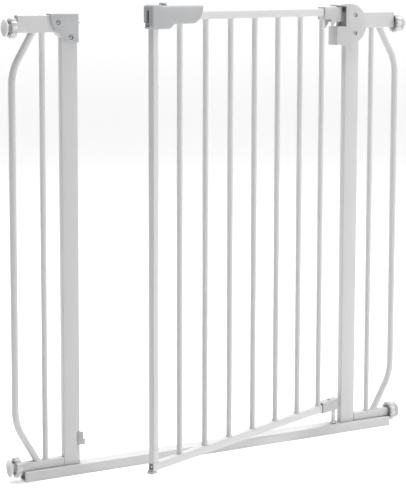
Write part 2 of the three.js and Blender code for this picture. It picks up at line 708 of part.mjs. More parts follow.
// A plug in the open end of the bottom rail, with a boss, and a lip that reaches out under the rail.
function cornerFitting() {
  const half = doorTubeDepth / 2;
  const core = half - tubeWall - gap;
  const z0 = doorBottom - gap - cornerLipThickness;
  const coreLow = doorBottom + tubeWall + gap;
  const coreHigh = doorBottom + doorRailHeight - tubeWall - gap;
  const webOuter = freeEnd - gap - cornerWeb;
  const recessFloor = freeEnd + cornerPlugRecess;
  const plug = box(recessFloor, freeEnd + cornerPlugLength, -core, core, coreLow, coreHigh);
  const tongue = box(webOuter, recessFloor + gap, -core, core, coreLow, coreLow + cornerWeb);
  const web = box(webOuter, freeEnd - gap, -half, half, z0, coreLow + cornerWeb);
  const lip = box(freeEnd - cornerLipReach, freeEnd + cornerLipOverlap, -half, half, z0, doorBottom - gap);
  const bossZ = (coreLow + coreHigh + cornerWeb) / 2;
  const boss = rod('x', freeEnd + gap, recessFloor + gap, cornerBossDiameter, 0, bossZ);
  add('door_corner_fitting', carve(plug, [tongue, web, lip, boss], []), greyPlastic, door);
}

bottomRail();
post('left', -1);
post('right', 1);
wings();
latchHousing();
keeper();
hingeHousing();
doorBarsAndRails();
upperBracket();
lowerBracket();
handle();
cornerFitting();

export default gate;
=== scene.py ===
import bmesh
import bpy
import json
import math
from mathutils import Matrix, Vector


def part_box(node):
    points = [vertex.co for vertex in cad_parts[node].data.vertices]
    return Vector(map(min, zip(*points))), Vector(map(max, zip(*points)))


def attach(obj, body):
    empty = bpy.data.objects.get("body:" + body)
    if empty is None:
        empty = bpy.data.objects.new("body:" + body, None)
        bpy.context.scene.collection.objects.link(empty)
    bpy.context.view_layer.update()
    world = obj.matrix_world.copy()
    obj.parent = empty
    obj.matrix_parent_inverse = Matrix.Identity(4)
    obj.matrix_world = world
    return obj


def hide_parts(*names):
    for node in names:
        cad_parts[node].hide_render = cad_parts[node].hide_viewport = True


# Safety gate for a doorway, in metres. The CAD frame gives every place; the pieces here are its looks.
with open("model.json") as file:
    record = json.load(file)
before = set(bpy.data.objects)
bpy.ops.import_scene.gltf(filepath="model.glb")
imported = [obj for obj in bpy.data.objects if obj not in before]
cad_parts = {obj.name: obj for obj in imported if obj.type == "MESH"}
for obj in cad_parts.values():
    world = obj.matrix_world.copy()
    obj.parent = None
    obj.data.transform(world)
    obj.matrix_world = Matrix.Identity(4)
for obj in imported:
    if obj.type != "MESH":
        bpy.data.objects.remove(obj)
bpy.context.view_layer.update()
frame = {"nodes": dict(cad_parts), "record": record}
nodes = frame["nodes"]
mm = 0.001
print("frame loaded,", len(nodes), "nodes")

doorPose = {
    "swing": 21.6,  # degrees open, as the frame has it
    "lift": 7.5 * mm,
}
pinLow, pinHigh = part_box("lower_hinge_pin")
hingeX = (pinLow.x + pinHigh.x) / 2
doorTurn = Matrix.Rotation(math.radians(doorPose["swing"]), 4, "Z")
doorPlace = Matrix.Translation((hingeX, 0, doorPose["lift"])) @ doorTurn
halfSplit = 0.15 * mm  # from the middle plane to each shell of a two-part housing


# tools
def closedBox(node):
    # a door node's corners with the door shut, measured from the hinge line
    back = doorPlace.inverted()
    places = [back @ v.co for v in nodes[node].data.vertices]
    low = Vector([min(p[i] for p in places) for i in range(3)])
    high = Vector([max(p[i] for p in places) for i in range(3)])
    return low, high


def block(low, high):
    bm = bmesh.new()
    bmesh.ops.create_cube(bm, size=1)
    bmesh.ops.scale(bm, vec=high - low, verts=bm.verts)
    bmesh.ops.translate(bm, vec=(low + high) / 2, verts=bm.verts)
    return bm


def edgesAlong(bm, axis):
    found = []
    for e in bm.edges:
        run = (e.verts[1].co - e.verts[0].co).normalized()
        if abs(run[axis]) > 0.99:
            found.append(e)
    return found


def roundEdges(bm, edges, size, segments=3):
    bmesh.ops.bevel(bm, geom=edges, offset=size, offset_type="OFFSET", segments=segments,
                    profile=0.5, affect="EDGES", clamp_overlap=True, material=-1)


def hollowEnd(bm, axis, side, wall, depth):
    # opens a tube's end: an inset rim, then the inside pushed in
    ends = [f for f in bm.faces if f.normal[axis] * side > 0.99]
    end = max(ends, key=lambda f: f.calc_area())
    bmesh.ops.inset_region(bm, faces=[end], thickness=wall, use_even_offset=True)
    pushed = bmesh.ops.extrude_face_region(bm, geom=[end])
    move = Vector((0, 0, 0))
    move[axis] = -side * depth
    bmesh.ops.translate(bm, vec=move, verts=[v for v in pushed["geom"] if isinstance(v, bmesh.types.BMVert)])
    if end.is_valid:
        bmesh.ops.delete(bm, geom=[end], context="FACES_ONLY")


def turnedProfile(bm, points, centre, axis, steps):
    # points are (distance from the axis, place along it); the ends may lie on the axis
    side = Vector((0, 0, 1)) if axis[2] == 0 else Vector((1, 0, 0))
    verts = [bm.verts.new(centre + side * r + axis * h) for r, h in points]
    edges = [bm.edges.new(pair) for pair in zip(verts, verts[1:])]
    bmesh.ops.spin(bm, geom=verts + edges, cent=centre, axis=axis, angle=2 * math.pi, steps=steps,
                   use_merge=True)
    bmesh.ops.remove_doubles(bm, verts=bm.verts, dist=1e-6)
    bmesh.ops.recalc_face_normals(bm, faces=bm.faces)


def roundRim(bm, face, rim, steps=4):
    # a quarter round worked from a flat face: small insets that rise less and less
    inward, raised = 0.0, 0.0
    for i in range(1, steps + 1):
        turn = math.pi / 2 * i / steps
        nextIn, nextUp = rim * (1 - math.cos(turn)), rim * math.sin(turn)
        bmesh.ops.inset_region(bm, faces=[face], thickness=nextIn - inward, depth=nextUp - raised,
                               use_even_offset=True)
        inward, raised = nextIn, nextUp


def plateFrom(points, yFrom, yTo, rim, innerRim=0.0):
    # an outline in X and Z, pulled out along Y, with the rims of both faces rounded
    outerY, innerY = (yFrom, yTo) if abs(yFrom) > abs(yTo) else (yTo, yFrom)
    way = 1 if outerY > innerY else -1
    bm = bmesh.new()
    verts = [bm.verts.new((x, innerY + way * innerRim, z)) for x, z in points]
    face = bm.faces.new(verts)
    pulled = bmesh.ops.extrude_face_region(bm, geom=[face])
    bmesh.ops.translate(bm, vec=(0, outerY - innerY - way * (rim + innerRim), 0),
                        verts=[v for v in pulled["geom"] if isinstance(v, bmesh.types.BMVert)])
    bmesh.ops.recalc_face_normals(bm, faces=bm.faces)
    flats = [f for f in bm.faces if len(f.verts) == len(points)]
    for f in flats:
        size = rim if f.normal.y * way > 0 else innerRim
        if size > 0:
            roundRim(bm, f, size)
    return bm


def arcPoints(cx, cz, rx, rz, fromAngle, toAngle, steps):
    # points on an arc, for an outline
    turns = [math.radians(fromAngle + (toAngle - fromAngle) * i / steps) for i in range(steps + 1)]
    return [(cx + rx * math.cos(t), cz + rz * math.sin(t)) for t in turns]


def piece(bm, name, material, body, replaced, onDoor=False, crease=32):
    if onDoor:
        bmesh.ops.transform(bm, matrix=doorPlace, verts=bm.verts)
    for f in bm.faces:
        f.smooth = True
    mesh = bpy.data.meshes.new(name)
    bm.to_mesh(mesh)
    bm.free()
    mesh.set_sharp_from_angle(angle=math.radians(crease))
    made = bpy.data.objects.new(name, mesh)
    bpy.context.scene.collection.objects.link(made)
    made.data.materials.append(material)
    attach(made, body)
    if replaced:
        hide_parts(*replaced)
    return made


def joinInto(bm, other):
    mesh = bpy.data.meshes.new("joining")
    other.to_mesh(mesh)
    other.free()
    bm.from_mesh(mesh)
    bpy.data.meshes.remove(mesh)


def cutWith(bm, cutters):
    # takes the cutters' shapes out of bm and gives back a new bmesh
    holders = []
    for i, shape in enumerate([bm] + cutters):
        mesh = bpy.data.meshes.new("cutting%d" % i)
        shape.to_mesh(mesh)
        shape.free()
        holder = bpy.data.objects.new("cutting%d" % i, mesh)
        bpy.context.scene.collection.objects.link(holder)
        holders.append(holder)
    for cutter in holders[1:]:
        cut = holders[0].modifiers.new("cut", "BOOLEAN")
        cut.operation = "DIFFERENCE"
        cut.solver = "EXACT"
        cut.object = cutter
    shown = bpy.context.evaluated_depsgraph_get()
    result = bpy.data.meshes.new_from_object(holders[0].evaluated_get(shown))
    after = bmesh.new()
    after.from_mesh(result)
    bpy.data.meshes.remove(result)
    for holder in holders:
        left = holder.data
        bpy.data.objects.remove(holder)
        bpy.data.meshes.remove(left)
    return after


# finishes
def startMaterial(name, colour, roughness, metallic=0.0):
    material = bpy.data.materials.new(name)
    material.use_nodes = True
    tree = material.node_tree
    shader = tree.nodes["Principled BSDF"]
    shader.inputs["Base Color"].default_value = (*colour, 1)
    shader.inputs["Roughness"].default_value = roughness
    shader.inputs["Metallic"].default_value = metallic
    shader.inputs["Specular IOR Level"].default_value = 0.35
    place = tree.nodes.new("ShaderNodeTexCoord")
    return material, tree, shader, place.outputs["Object"]


def noiseAt(tree, place, scale, detail=2.0, roughness=0.5):
    noise = tree.nodes.new("ShaderNodeTexNoise")
    noise.inputs["Scale"].default_value = scale
    noise.inputs["Detail"].default_value = detail
    noise.inputs["Roughness"].default_value = roughness
    tree.links.new(place, noise.inputs["Vector"])
    return noise.outputs["Fac"]


def spread(tree, value, low, high, fromLow=0.3, fromHigh=0.7):
    ramp = tree.nodes.new("ShaderNodeMapRange")
    ramp.inputs["From Min"].default_value = fromLow
    ramp.inputs["From Max"].default_value = fromHigh
    ramp.inputs["To Min"].default_value = low
    ramp.inputs["To Max"].default_value = high
    tree.links.new(value, ramp.inputs["Value"])
    return ramp.outputs["Result"]


def blendColour(tree, value, first, second):
    mix = tree.nodes.new("ShaderNodeMix")
    mix.data_type = "RGBA"
    mix.inputs["A"].default_value = (*first, 1)
    mix.inputs["B"].default_value = (*second, 1)
    tree.links.new(value, mix.inputs["Factor"])
    return mix.outputs["Result"]


def bumpFrom(tree, shader, value, strength, distance, under=None):
    bump = tree.nodes.new("ShaderNodeBump")
    bump.inputs["Strength"].default_value = strength
    bump.inputs["Distance"].default_value = distance
    tree.links.new(value, bump.inputs["Height"])
    if under is not None:
        tree.links.new(under, bump.inputs["Normal"])
    tree.links.new(bump.outputs["Normal"], shader.inputs["Normal"])
    return bump.outputs["Normal"]


def powderCoat(look):
    # sprayed powder: faint orange peel, a little uneven in gloss and whiteness
    material, tree, shader, place = startMaterial("powderCoat", look["colour"], look["roughness"])
    tint = spread(tree, noiseAt(tree, place, look["patchScale"]), 0.0, 1.0)
    tree.links.new(blendColour(tree, tint, look["colour"], look["shade"]), shader.inputs["Base Color"])
    gloss = spread(tree, noiseAt(tree, place, look["glossScale"], 3.0),
                   look["roughness"] - 0.05, look["roughness"] + 0.05)
    tree.links.new(gloss, shader.inputs["Roughness"])
    bumpFrom(tree, shader, noiseAt(tree, place, look["peelScale"], 1.0), look["peel"], 0.00012)
    shader.inputs["Coat Weight"].default_value = look["coat"]
    shader.inputs["Coat Roughness"].default_value = 0.25
    return material


def mouldedPlastic(name, look):
    # spark-eroded grain from the mould, over a slow change of tone
    material, tree, shader, place = startMaterial(name, look["colour"], look["roughness"])
    tint = spread(tree, noiseAt(tree, place, look["patchScale"]), 0.0, 1.0)
    tree.links.new(blendColour(tree, tint, look["colour"], look["shade"]), shader.inputs["Base Color"])
    gloss = spread(tree, noiseAt(tree, place, 220.0, 3.0), look["roughness"] - 0.06, look["roughness"] + 0.06)
    tree.links.new(gloss, shader.inputs["Roughness"])
    bumpFrom(tree, shader, noiseAt(tree, place, look["grainScale"], 3.0, 0.6), look["grain"], 0.0001)
    return material


def platedSteel(look):
    # zinc plate, faintly crystalline and turned
    material, tree, shader, place = startMaterial("platedSteel", look["colour"], look["roughness"], 1.0)
    spots = tree.nodes.new("ShaderNodeTexVoronoi")
    spots.inputs["Scale"].default_value = look["crystalScale"]
    tree.links.new(place, spots.inputs["Vector"])
    tone = spread(tree, spots.outputs["Distance"], 0.0, 1.0, 0.0, 0.6)
    tree.links.new(blendColour(tree, tone, look["colour"], look["shade"]), shader.inputs["Base Color"])
    gloss = spread(tree, noiseAt(tree, place, 500.0, 3.0), look["roughness"] - 0.08, look["roughness"] + 0.1)
    tree.links.new(gloss, shader.inputs["Roughness"])
    bumpFrom(tree, shader, noiseAt(tree, place, 900.0, 2.0), 0.15, 0.00005)
    return material


coatLook = {
    "colour": (0.6, 0.6, 0.605),
    "shade": (0.58, 0.58, 0.585),
    "roughness": 0.34,
    "coat": 0.25,
    "patchScale": 9.0,
    "glossScale": 60.0,
    "peelScale": 900.0,
    "peel": 0.25,
}
greyLook = {"colour": (0.47, 0.475, 0.49), "shade": (0.43, 0.435, 0.45), "roughness": 0.5,
            "patchScale": 25.0, "grainScale": 2600.0, "grain": 0.35}
handleTone = {"colour": (0.4, 0.405, 0.415), "shade": (0.37, 0.375, 0.385), "roughness": 0.5,
              "patchScale": 25.0, "grainScale": 2600.0, "grain": 0.35}
lightLook = {"colour": (0.55, 0.55, 0.555), "shade": (0.51, 0.51, 0.515), "roughness": 0.48,
             "patchScale": 25.0, "grainScale": 2600.0, "grain": 0.3}
wheelLook = {"colour": (0.62, 0.62, 0.62), "shade": (0.57, 0.57, 0.57), "roughness": 0.45,
             "patchScale": 30.0, "grainScale": 2200.0, "grain": 0.3}
darkLook = {"colour": (0.3, 0.302, 0.31), "shade": (0.26, 0.262, 0.27), "roughness": 0.5,
            "patchScale": 40.0, "grainScale": 2600.0, "grain": 0.3}
# near-black finish, painted shade for the handle slot's end
slotShadeLook = {"colour": (0.03, 0.03, 0.032), "shade": (0.02, 0.02, 0.022), "roughness": 0.7,
              "patchScale": 40.0, "grainScale": 2600.0, "grain": 0.3}
bracketLook = {"colour": (0.48, 0.48, 0.485), "shade": (0.44, 0.44, 0.445), "roughness": 0.4,
               "patchScale": 30.0, "grainScale": 1200.0, "grain": 0.25}
padLook = {"colour": (0.78, 0.78, 0.77), "shade": (0.72, 0.72, 0.71), "roughness": 0.6,
           "patchScale": 30.0, "grainScale": 1800.0, "grain": 0.4}
zincLook = {"colour": (0.62, 0.62, 0.63), "shade": (0.5, 0.5, 0.51), "roughness": 0.36, "crystalScale": 900.0}

coat = powderCoat(coatLook)
greyPlastic = mouldedPlastic("greyPlastic", greyLook)
handlePlastic = mouldedPlastic("handlePlastic", handleTone)
lightPlastic = mouldedPlastic("lightGreyPlastic", lightLook)
wheelPlastic = mouldedPlastic("wheelPlastic", wheelLook)
darkPlastic = mouldedPlastic("darkPlastic", darkLook)
# the near-black finish is painted shade, used only at the handle slot's end
slotShadeFinish = mouldedPlastic("slotShadeFinish", slotShadeLook)
bracketCoat = mouldedPlastic("bracketCoat", bracketLook)
padRubber = mouldedPlastic("padRubber", padLook)
zinc = platedSteel(zincLook)
finishOfSlot = {
    "white_coating": coat, "grey_plastic": greyPlastic, "light_grey_plastic": lightPlastic,
    "wheel_plastic": wheelPlastic, "bracket_steel": bracketCoat, "dark_plastic": darkPlastic,
    "zinc": zinc, "pad_rubber": padRubber,
}
# every frame node gets the finish of its own slot, so what isn't rebuilt below is finished too
for part in frame["record"]["subparts"]:
    holder = nodes[part["node"]]
    holder.data.materials.clear()
    holder.data.materials.append(finishOfSlot[part["material_slot"]])
print("finishes made:", len(finishOfSlot))


# frame: rails and posts
frameTubes = {
    "corner": 2.2 * mm,
    "railCorner": 1.2 * mm,
    "wall": 1.2 * mm,
    "endDepth": 30 * mm,
    "planCorner": 2 * mm,  # the bottom rail's ends, seen from above
}

low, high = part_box("bottom_rail")
bm = block(low, high)
roundEdges(bm, edgesAlong(bm, 2), frameTubes["planCorner"], 5)
topAndBottom = [e for e in bm.edges if abs(e.verts[0].co.z - e.verts[1].co.z) < 1e-7]
roundEdges(bm, topAndBottom, frameTubes["railCorner"], 3)
for side in (-1, 1):
    hollowEnd(bm, 0, side, frameTubes["wall"], frameTubes["endDepth"])
piece(bm, "bottomRail", coat, "frame", ["bottom_rail"])

for side in ("left", "right"):
    low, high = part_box(side + "_post")
    bm = block(low, high)
    roundEdges(bm, edgesAlong(bm, 2), frameTubes["corner"], 4)
    piece(bm, side + "Post", coat, "frame", [side + "_post"])
    outward = 1 if side == "right" else -1
    for level in ("top", "low"):
        node = side + "_wing_" + level + "_rail"
        low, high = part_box(node)
        bm = block(low, high)
        roundEdges(bm, edgesAlong(bm, 0), frameTubes["railCorner"], 4)
        hollowEnd(bm, 0, outward, frameTubes["wall"], frameTubes["endDepth"])
        piece(bm, side + "Wing" + level.capitalize() + "Rail", coat, "frame", [node])
print("rails and posts done")

# bars
barLook = {
    "sides": 28,
    "weldReach": 1.3 * mm,  # of the fillet past the bar
    "weldHeight": 2.0 * mm,
}


def barWithWelds(low, high):
    # one round bar with a small weld fillet where each end meets its rail
    centre = (low + high) / 2
    r = (high.x - low.x) / 2
    h = high.z - low.z
    reach = barLook["weldReach"]
    rise = barLook["weldHeight"]
    profile = [(0, 0), (r + reach, 0), (r + reach * 0.75, rise * 0.35), (r + reach * 0.25, rise * 0.8),
               (r, rise * 1.5),
               (r, h - rise), (r + reach * 0.4, h - rise * 0.3), (r + reach * 0.7, h), (0, h)]
    bm = bmesh.new()
    turnedProfile(bm, profile, Vector((centre.x, centre.y, low.z)), Vector((0, 0, 1)), barLook["sides"])
    return bm


for side in ("left", "right"):
    low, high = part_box(side + "_wing_bar")
    piece(barWithWelds(low, high), side + "WingBar", coat, "frame", [side + "_wing_bar"])
for i in range(1, 8):
    low, high = closedBox("door_bar_%d" % i)
    piece(barWithWelds(low, high), "doorBar%d" % i, coat, "door", ["door_bar_%d" % i],
          onDoor=True)

# bent outer tubes of the wings
bentTube = {
    "diameter": 11.5 * mm,
    "topAt": 328.2 * mm,  # from the gate's middle, where it meets the top rail
    "lowAt": 326.5 * mm,
    "straightAt": 370 * mm,
    "kneeTop": 671 * mm,
    "kneeLow": 95.5 * mm,
    "bendRadius": 80 * mm,
    "bendSteps": 12,
    "sides": 24,
    "bury": 3 * mm,  # how far its ends run on into the rails
}


def bentTubeShape(sign, zTop, zLow):
    d = bentTube["diameter"]
    topPoint = Vector((bentTube["topAt"] * sign, 0, zTop + d))
    kneeTop = Vector((bentTube["straightAt"] * sign, 0, bentTube["kneeTop"]))
    kneeLow = Vector((bentTube["straightAt"] * sign, 0, bentTube["kneeLow"]))
    lowPoint = Vector((bentTube["lowAt"] * sign, 0, zLow - d))
    first = (kneeTop - topPoint).normalized()
    down = Vector((0, 0, -1))
    last = (lowPoint - kneeLow).normalized()
    start = topPoint + first * ((zTop + bentTube["bury"] - topPoint.z) / first.z)
    r = bentTube["bendRadius"]
    topTurn = first.angle(down)
    lowTurn = last.angle(down)
    topTangent = r * math.tan(topTurn / 2)
    lowTangent = r * math.tan(lowTurn / 2)
    bm = bmesh.new()
    ring = bmesh.ops.create_circle(bm, radius=d / 2, segments=bentTube["sides"], cap_ends=False)["verts"]
    bmesh.ops.rotate(bm, verts=ring, cent=(0, 0, 0),
                     matrix=Vector((0, 0, 1)).rotation_difference(first).to_matrix())
    bmesh.ops.translate(bm, verts=ring, vec=start)

    def straight(ring, run):
        pulled = bmesh.ops.extrude_edge_only(bm, edges=list({e for v in ring for e in v.link_edges
                                                            if all(w in ring for w in e.verts)}))
        fresh = [v for v in pulled["geom"] if isinstance(v, bmesh.types.BMVert)]
        bmesh.ops.translate(bm, verts=fresh, vec=run)
        return fresh

    def bend(ring, centre, turn):
        edges = list({e for v in ring for e in v.link_edges if all(w in ring for w in e.verts)})
        spun = bmesh.ops.spin(bm, geom=list(ring) + edges, cent=centre, axis=(0, sign, 0), angle=turn,
                              steps=bentTube["bendSteps"])
        return [v for v in spun["geom_last"] if isinstance(v, bmesh.types.BMVert)]

    ring = straight(ring, (kneeTop - first * topTangent) - start)
    inward = Vector((-sign, 0, 0))
    ring = bend(ring, kneeTop + down * topTangent + inward * r, topTurn)
    ring = straight(ring, (kneeLow - down * lowTangent) - (kneeTop + down * topTangent))
    ring = bend(ring, kneeLow - down * lowTangent + inward * r, lowTurn)
    bendEnd = kneeLow + last * lowTangent
    finish = bendEnd + last * ((zLow - bentTube["bury"] - bendEnd.z) / last.z)
    ring = straight(ring, finish - bendEnd)
    bmesh.ops.holes_fill(bm, edges=[e for e in bm.edges if e.is_boundary], sides=0)
    bmesh.ops.recalc_face_normals(bm, faces=bm.faces)
    return bm


for side, sign in (("left", -1), ("right", 1)):
    low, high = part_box(side + "_wing_outer_tube")
    bm = bentTubeShape(sign, high.z, low.z)
    piece(bm, side + "WingOuterTube", coat, "frame", [side + "_wing_outer_tube"])
print("bars and bent tubes done")

# door: rails and stile
doorTubes = {"corner": 1.6 * mm, "wall": 1.3 * mm, "endDepth": 16 * mm}
for node, axis, name in (("door_top_rail", 0, "doorTopRail"), ("door_bottom_rail", 0, "doorBottomRail"),
                         ("door_stile", 2, "doorStile")):
    low, high = closedBox(node)
    bm = block(low, high)
    roundEdges(bm, edgesAlong(bm, axis), doorTubes["corner"], 4)
    if node == "door_bottom_rail":
        hollowEnd(bm, 0, -1, doorTubes["wall"], doorTubes["endDepth"])
    piece(bm, name, coat, "door", [node], onDoor=True)
print("door tubes done")


# screws
screwLook = {
    "dome": 0.5 * mm,
    "crossLength": 4.2 * mm,
    "crossWidth": 0.9 * mm,
    "crossDepth": 0.9 * mm,
    "handleRise": (0, 5 * mm),  # keeps the handle's second screw on the shell
}


def screwHead(node, name, body, onDoor=False, facing=-1, rise=0):
    low, high = closedBox(node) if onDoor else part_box(node)
    centre = (low + high) / 2 + Vector((0, 0, rise))
    r = (high.x - low.x) / 2
    base = Vector((centre.x, high.y if facing < 0 else low.y, centre.z))
    tall = high.y - low.y
    out = Vector((0, facing, 0))
    dome = screwLook["dome"]
    bm = bmesh.new()
    turnedProfile(bm, [(0, 0), (r, 0), (r, tall - dome - 0.3 * mm), (r * 0.92, tall - dome),
                       (r * 0.6, tall - dome * 0.3), (0, tall)], base, out, 24)
    cutters = []
    half = screwLook["crossLength"] / 2
    thin = screwLook["crossWidth"] / 2
    face = base + out * tall
    for dx, dz in ((half, thin), (thin, half)):
        deep = screwLook["crossDepth"]
        cutters.append(block(Vector((face.x - dx, face.y - deep, face.z - dz)),
                             Vector((face.x + dx, face.y + deep, face.z + dz))))
    piece(cutWith(bm, cutters), name, zinc, body, [node], onDoor=onDoor)


for i in (1, 2):
    screwHead("latch_screw_%d" % i, "latchScrew%d" % i, "frame")
    screwHead("hinge_screw_%d" % i, "hingeScrew%d" % i, "frame")
    screwHead("handle_screw_%d" % i, "handleScrew%d" % i, "door", onDoor=True, facing=1,
              rise=screwLook["handleRise"][i - 1])


def roundCutter(x, z, yFrom, yTo, diameter):
    bm = bmesh.new()
    bmesh.ops.create_cone(bm, cap_ends=True, segments=28, radius1=diameter / 2, radius2=diameter / 2,
                          depth=abs(yTo - yFrom))
    bmesh.ops.rotate(bm, verts=bm.verts, cent=(0, 0, 0), matrix=Matrix.Rotation(math.pi / 2, 3, "X"))
    bmesh.ops.translate(bm, verts=bm.verts, vec=(x, (yFrom + yTo) / 2, z))
    return bm


# latch housing and peg
latchHousing = {
    "rim": 1.4 * mm,
    "seam": 0.35 * mm,
    "screwRoom": 8.2 * mm,
    "screwRecess": 2.6 * mm,
    "arcSteps": 28,
}
low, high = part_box("latch_housing_front")
outer = arcPoints(high.x, high.z, high.x - low.x, high.z - low.z, 180, 270, latchHousing["arcSteps"])
outer.append((high.x, high.z))
halfDepth = max(abs(low.y), abs(high.y))
bm = plateFrom(outer, -halfDepth, -halfSplit, latchHousing["rim"], latchHousing["seam"])
rooms = []
for i in (1, 2):
    sLow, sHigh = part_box("latch_screw_%d" % i)
    centre = (sLow + sHigh) / 2
    rooms.append(roundCutter(centre.x, centre.z, -halfDepth - mm, -halfDepth + latchHousing["screwRecess"],
                             latchHousing["screwRoom"]))
piece(cutWith(bm, rooms), "latchHousingFront", greyPlastic, "frame", ["latch_housing_front"])
bm = plateFrom(outer, halfSplit, halfDepth, latchHousing["rim"], latchHousing["seam"])
piece(bm, "latchHousingRear", greyPlastic, "frame", ["latch_housing_rear"])


def pegShape(node):
    # a plain peg with a rounded tip, pointing to +X
    low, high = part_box(node)
    centre = (low + high) / 2
    r = (high.z - low.z) / 2
    run = high.x - low.x
    bm = bmesh.new()
    turnedProfile(bm, [(0, 0), (r, 0), (r, run - 0.8 * mm), (r * 0.8, run - 0.2 * mm), (r * 0.5, run),
                       (0, run)], Vector((low.x, centre.y, centre.z)), Vector((1, 0, 0)), 24)
    return bm


piece(pegShape("strike_peg"), "strikePeg", zinc, "frame", ["strike_peg"])
piece(pegShape("low_keeper_peg"), "lowKeeperPeg", zinc, "frame", ["low_keeper_peg"])
print("latch done")

# hinge housing
hingeHousing = {
    "rim": 1.5 * mm,
    "seam": 0.35 * mm,
    "roofLeft": 2.9 * mm,  # the roof starts this far in from the lower part's face
    "roofSlope": 2.5 * mm,
    "roofUnder": 771 * mm,
    "ledge": 735.6 * mm,
    "radius": 36.5 * mm,
    "bracketRoom": 8.4 * mm,  # past the hinge line
    "wall": 1.4 * mm,
    "cavity": 14 * mm,
    "screwRoom": 8.2 * mm,
    "screwRecess": 2.6 * mm,
    "arcSteps": 40,
}
low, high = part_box("hinge_housing_front")
r = hingeHousing["radius"]
cx = high.x - r
cz = high.z - r
wallX = hingeX + hingeHousing["bracketRoom"]
outer = ([(low.x, low.z), (cx, low.z)] + arcPoints(cx, cz, r, r, -90, 90, hingeHousing["arcSteps"])[1:]
         + [(low.x + hingeHousing["roofLeft"], high.z - hingeHousing["roofSlope"]),
            (low.x + hingeHousing["roofLeft"], hingeHousing["roofUnder"]), (wallX, hingeHousing["roofUnder"]),
            (wallX, hingeHousing["ledge"]), (low.x, hingeHousing["ledge"])])
halfDepth = max(abs(low.y), abs(high.y))


def hingeCavity():
    # the hollow behind the bracket, which shows as a dark slot beside it
    deep = halfDepth - hingeHousing["wall"]
    return block(Vector((wallX - mm, -deep, hingeHousing["ledge"] + hingeHousing["wall"])),
                 Vector((wallX + hingeHousing["cavity"], deep,
                         hingeHousing["roofUnder"] - hingeHousing["wall"])))


bm = plateFrom(outer, -halfDepth, -halfSplit, hingeHousing["rim"], hingeHousing["seam"])
rooms = [hingeCavity()]
for i in (1, 2):
    sLow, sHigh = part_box("hinge_screw_%d" % i)
    centre = (sLow + sHigh) / 2
    rooms.append(roundCutter(centre.x, centre.z, -halfDepth - mm, -halfDepth + hingeHousing["screwRecess"],
                             hingeHousing["screwRoom"]))
piece(cutWith(bm, rooms), "hingeHousingFront", lightPlastic, "frame", ["hinge_housing_front"])
bm = cutWith(plateFrom(outer, halfSplit, halfDepth, hingeHousing["rim"], hingeHousing["seam"]),
             [hingeCavity()])
piece(bm, "hingeHousingRear", lightPlastic, "frame", ["hinge_housing_rear"])
print("hinge housing done")


# folded brackets, keeper and end fittings, with their edges eased
easedParts = {
    "upper_hinge_bracket": ("upperHingeBracket", bracketCoat, "door", "bracket_steel", 0.5 * mm),
    "lower_hinge_bracket": ("lowerHingeBracket", bracketCoat, "door", "bracket_steel", 0.5 * mm),
    "low_keeper": ("lowKeeper", greyPlastic, "frame", "grey_plastic", 0.4 * mm),
    "door_corner_fitting": ("doorCornerFitting", greyPlastic, "door", "grey_plastic", 0.25 * mm),
    "left_top_insert": ("leftTopInsert", greyPlastic, "frame", "grey_plastic", 0.3 * mm),
    "left_low_insert": ("leftLowInsert", greyPlastic, "frame", "grey_plastic", 0.3 * mm),
    "right_top_insert": ("rightTopInsert", greyPlastic, "frame", "grey_plastic", 0.3 * mm),
    "right_low_insert": ("rightLowInsert", greyPlastic, "frame", "grey_plastic", 0.3 * mm),
}
for node, (name, finish, body, slotName, size) in easedParts.items():
    bm = bmesh.new()
    bm.from_mesh(nodes[node].data)
    bmesh.ops.remove_doubles(bm, verts=bm.verts, dist=0.02 * mm)
    bmesh.ops.dissolve_limit(bm, angle_limit=math.radians(2), verts=bm.verts, edges=bm.edges)
    sharp = [e for e in bm.edges if e.is_manifold and e.calc_face_angle() > math.radians(40)]
    roundEdges(bm, sharp, size, 2)
    piece(bm, name, finish, body, [node])
print("brackets and fittings done")

# hinge pins
pinLook = {"chamfer": 0.7 * mm, "weldReach": 1.8 * mm, "weldRise": 2.6 * mm}
low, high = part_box("lower_hinge_pin")
r = (high.x - low.x) / 2
tall = high.z - low.z
bm = bmesh.new()
turnedProfile(bm, [(0, 0), (r + pinLook["weldReach"], 0),
                   (r + pinLook["weldReach"] * 0.8, pinLook["weldRise"] * 0.5), (r, pinLook["weldRise"]),
                   (r, tall - pinLook["chamfer"]), (r - pinLook["chamfer"], tall), (0, tall)],
              Vector((hingeX, 0, low.z)), Vector((0, 0, 1)), 28)
piece(bm, "lowerHingePin", zinc, "hinge_pins", ["lower_hinge_pin"])
low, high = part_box("upper_hinge_pin")
r = (high.x - low.x) / 2
tall = high.z - low.z
bm = bmesh.new()
turnedProfile(bm, [(0, 0), (r - pinLook["chamfer"], 0), (r, pinLook["chamfer"]),
                   (r, tall - pinLook["chamfer"]), (r - pinLook["chamfer"], tall), (0, tall)],
              Vector((hingeX, 0, low.z)), Vector((0, 0, 1)), 28)
piece(bm, "upperHingePin", zinc, "hinge_pins", ["upper_hinge_pin"])

